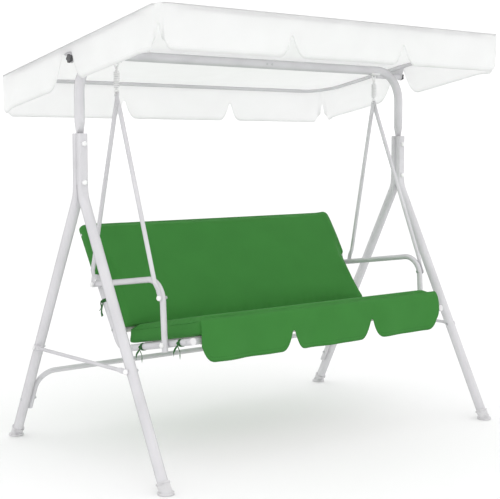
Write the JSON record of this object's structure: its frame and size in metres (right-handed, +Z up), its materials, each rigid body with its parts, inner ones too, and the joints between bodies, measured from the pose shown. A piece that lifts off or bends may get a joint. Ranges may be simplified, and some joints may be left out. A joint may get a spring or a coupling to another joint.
{
  "type": "canopy swing bench",
  "caption": "Garden swing bench for several sitters: padded seat and back hung by springs from an A-frame stand, under a canopy that tilts about the top beam.",
  "frame": {"origin": "on the ground, midway between the four feet", "axes": "+X runs along the bench, towards the right of someone facing it; the front of the bench faces -Y; +Z is up"},
  "size_m": [1.6986, 1.067, 1.5863],
  "materials": {
    "frame_paint": "pale grey powder coat, half gloss",
    "white_steel": "white powder coat",
    "zinc_steel": "bright zinc plate",
    "shoe_plastic": "pale grey moulded plastic",
    "cap_plastic": "white push-on caps",
    "plug_plastic": "pale moulded plugs",
    "knob_plastic": "dark moulded knob",
    "canopy_cloth": "white coated polyester, fine weave",
    "sling_cloth": "plain heavy cloth",
    "cushion_cloth": "green woven polyester",
    "tie_cloth": "dark green ribbon"
  },
  "bodies": {
    "stand": {"front_leg_left": "frame_paint", "rear_leg_left": "frame_paint", "front_leg_right": "frame_paint", "rear_leg_right": "frame_paint", "foot_shoe_front_left": "shoe_plastic", "foot_shoe_rear_left": "shoe_plastic", "foot_shoe_front_right": "shoe_plastic", "foot_shoe_rear_right": "shoe_plastic", "side_brace_left": "frame_paint", "side_brace_right": "frame_paint", "top_beam_left": "frame_paint", "top_beam_right": "frame_paint", "hook_eye_left": "white_steel", "hook_eye_right": "white_steel", "rear_crossbar": "frame_paint", "leg_bolts": "zinc_steel", "leg_nuts": "zinc_steel", "frame_bolt_caps": "cap_plastic", "brace_bolts": "zinc_steel", "crossbar_bolts": "zinc_steel", "frame_nuts": "zinc_steel", "beam_screws": "zinc_steel", "canopy_pivot_studs": "zinc_steel"},
    "springs": {"suspension_spring_left": "white_steel", "suspension_spring_right": "white_steel"},
    "seat": {"side_frame_left": "frame_paint", "side_frame_right": "frame_paint", "armrest_left": "frame_paint", "armrest_right": "frame_paint", "hanger_rod_front_left": "frame_paint", "hanger_rod_rear_left": "frame_paint", "hanger_rod_front_right": "frame_paint", "hanger_rod_rear_right": "frame_paint", "seat_front_rail": "frame_paint", "seat_rear_rail": "frame_paint", "back_lower_rail": "frame_paint", "back_top_rail": "frame_paint", "rail_end_plugs": "plug_plastic", "rail_bolts": "zinc_steel", "armrest_bolts": "zinc_steel", "armrest_nuts": "zinc_steel", "armrest_bolt_caps": "cap_plastic", "tube_end_plugs": "plug_plastic", "seat_sling": "sling_cloth", "back_sling": "sling_cloth", "seat_cushion": "cushion_cloth", "back_cushion": "cushion_cloth", "front_skirt": "cushion_cloth", "cover_ties": "tie_cloth"},
    "canopy": {"canopy_cover": "canopy_cloth", "canopy_front_rail": "frame_paint", "canopy_rear_rail": "frame_paint", "canopy_bracket_left": "frame_paint", "canopy_bracket_right": "frame_paint"},
    "knob_left": {"canopy_knob_left": "knob_plastic"},
    "knob_right": {"canopy_knob_right": "knob_plastic"}
  },
  "joints": [
    {"name": "spring_swing", "type": "hinge", "parent": "stand", "child": "springs", "pos_m": [0, 0, 1.412], "axis": [1, 0, 0], "range_deg": [-12, 12]},
    {"name": "seat_swing", "type": "hinge", "parent": "springs", "child": "seat", "pos_m": [0, 0, 1.318], "axis": [1, 0, 0], "range_deg": [-18, 18]},
    {"name": "canopy_tilt", "type": "hinge", "parent": "stand", "child": "canopy", "pos_m": [0, 0.014, 1.438], "axis": [1, 0, 0], "range_deg": [-15, 15]},
    {"name": "knob_turn_left", "type": "hinge", "parent": "stand", "child": "knob_left", "pos_m": [-0.842, 0.014, 1.438], "axis": [-1, 0, 0], "continuous": true},
    {"name": "knob_turn_right", "type": "hinge", "parent": "stand", "child": "knob_right", "pos_m": [0.842, 0.014, 1.438], "axis": [1, 0, 0], "continuous": true}
  ]
}
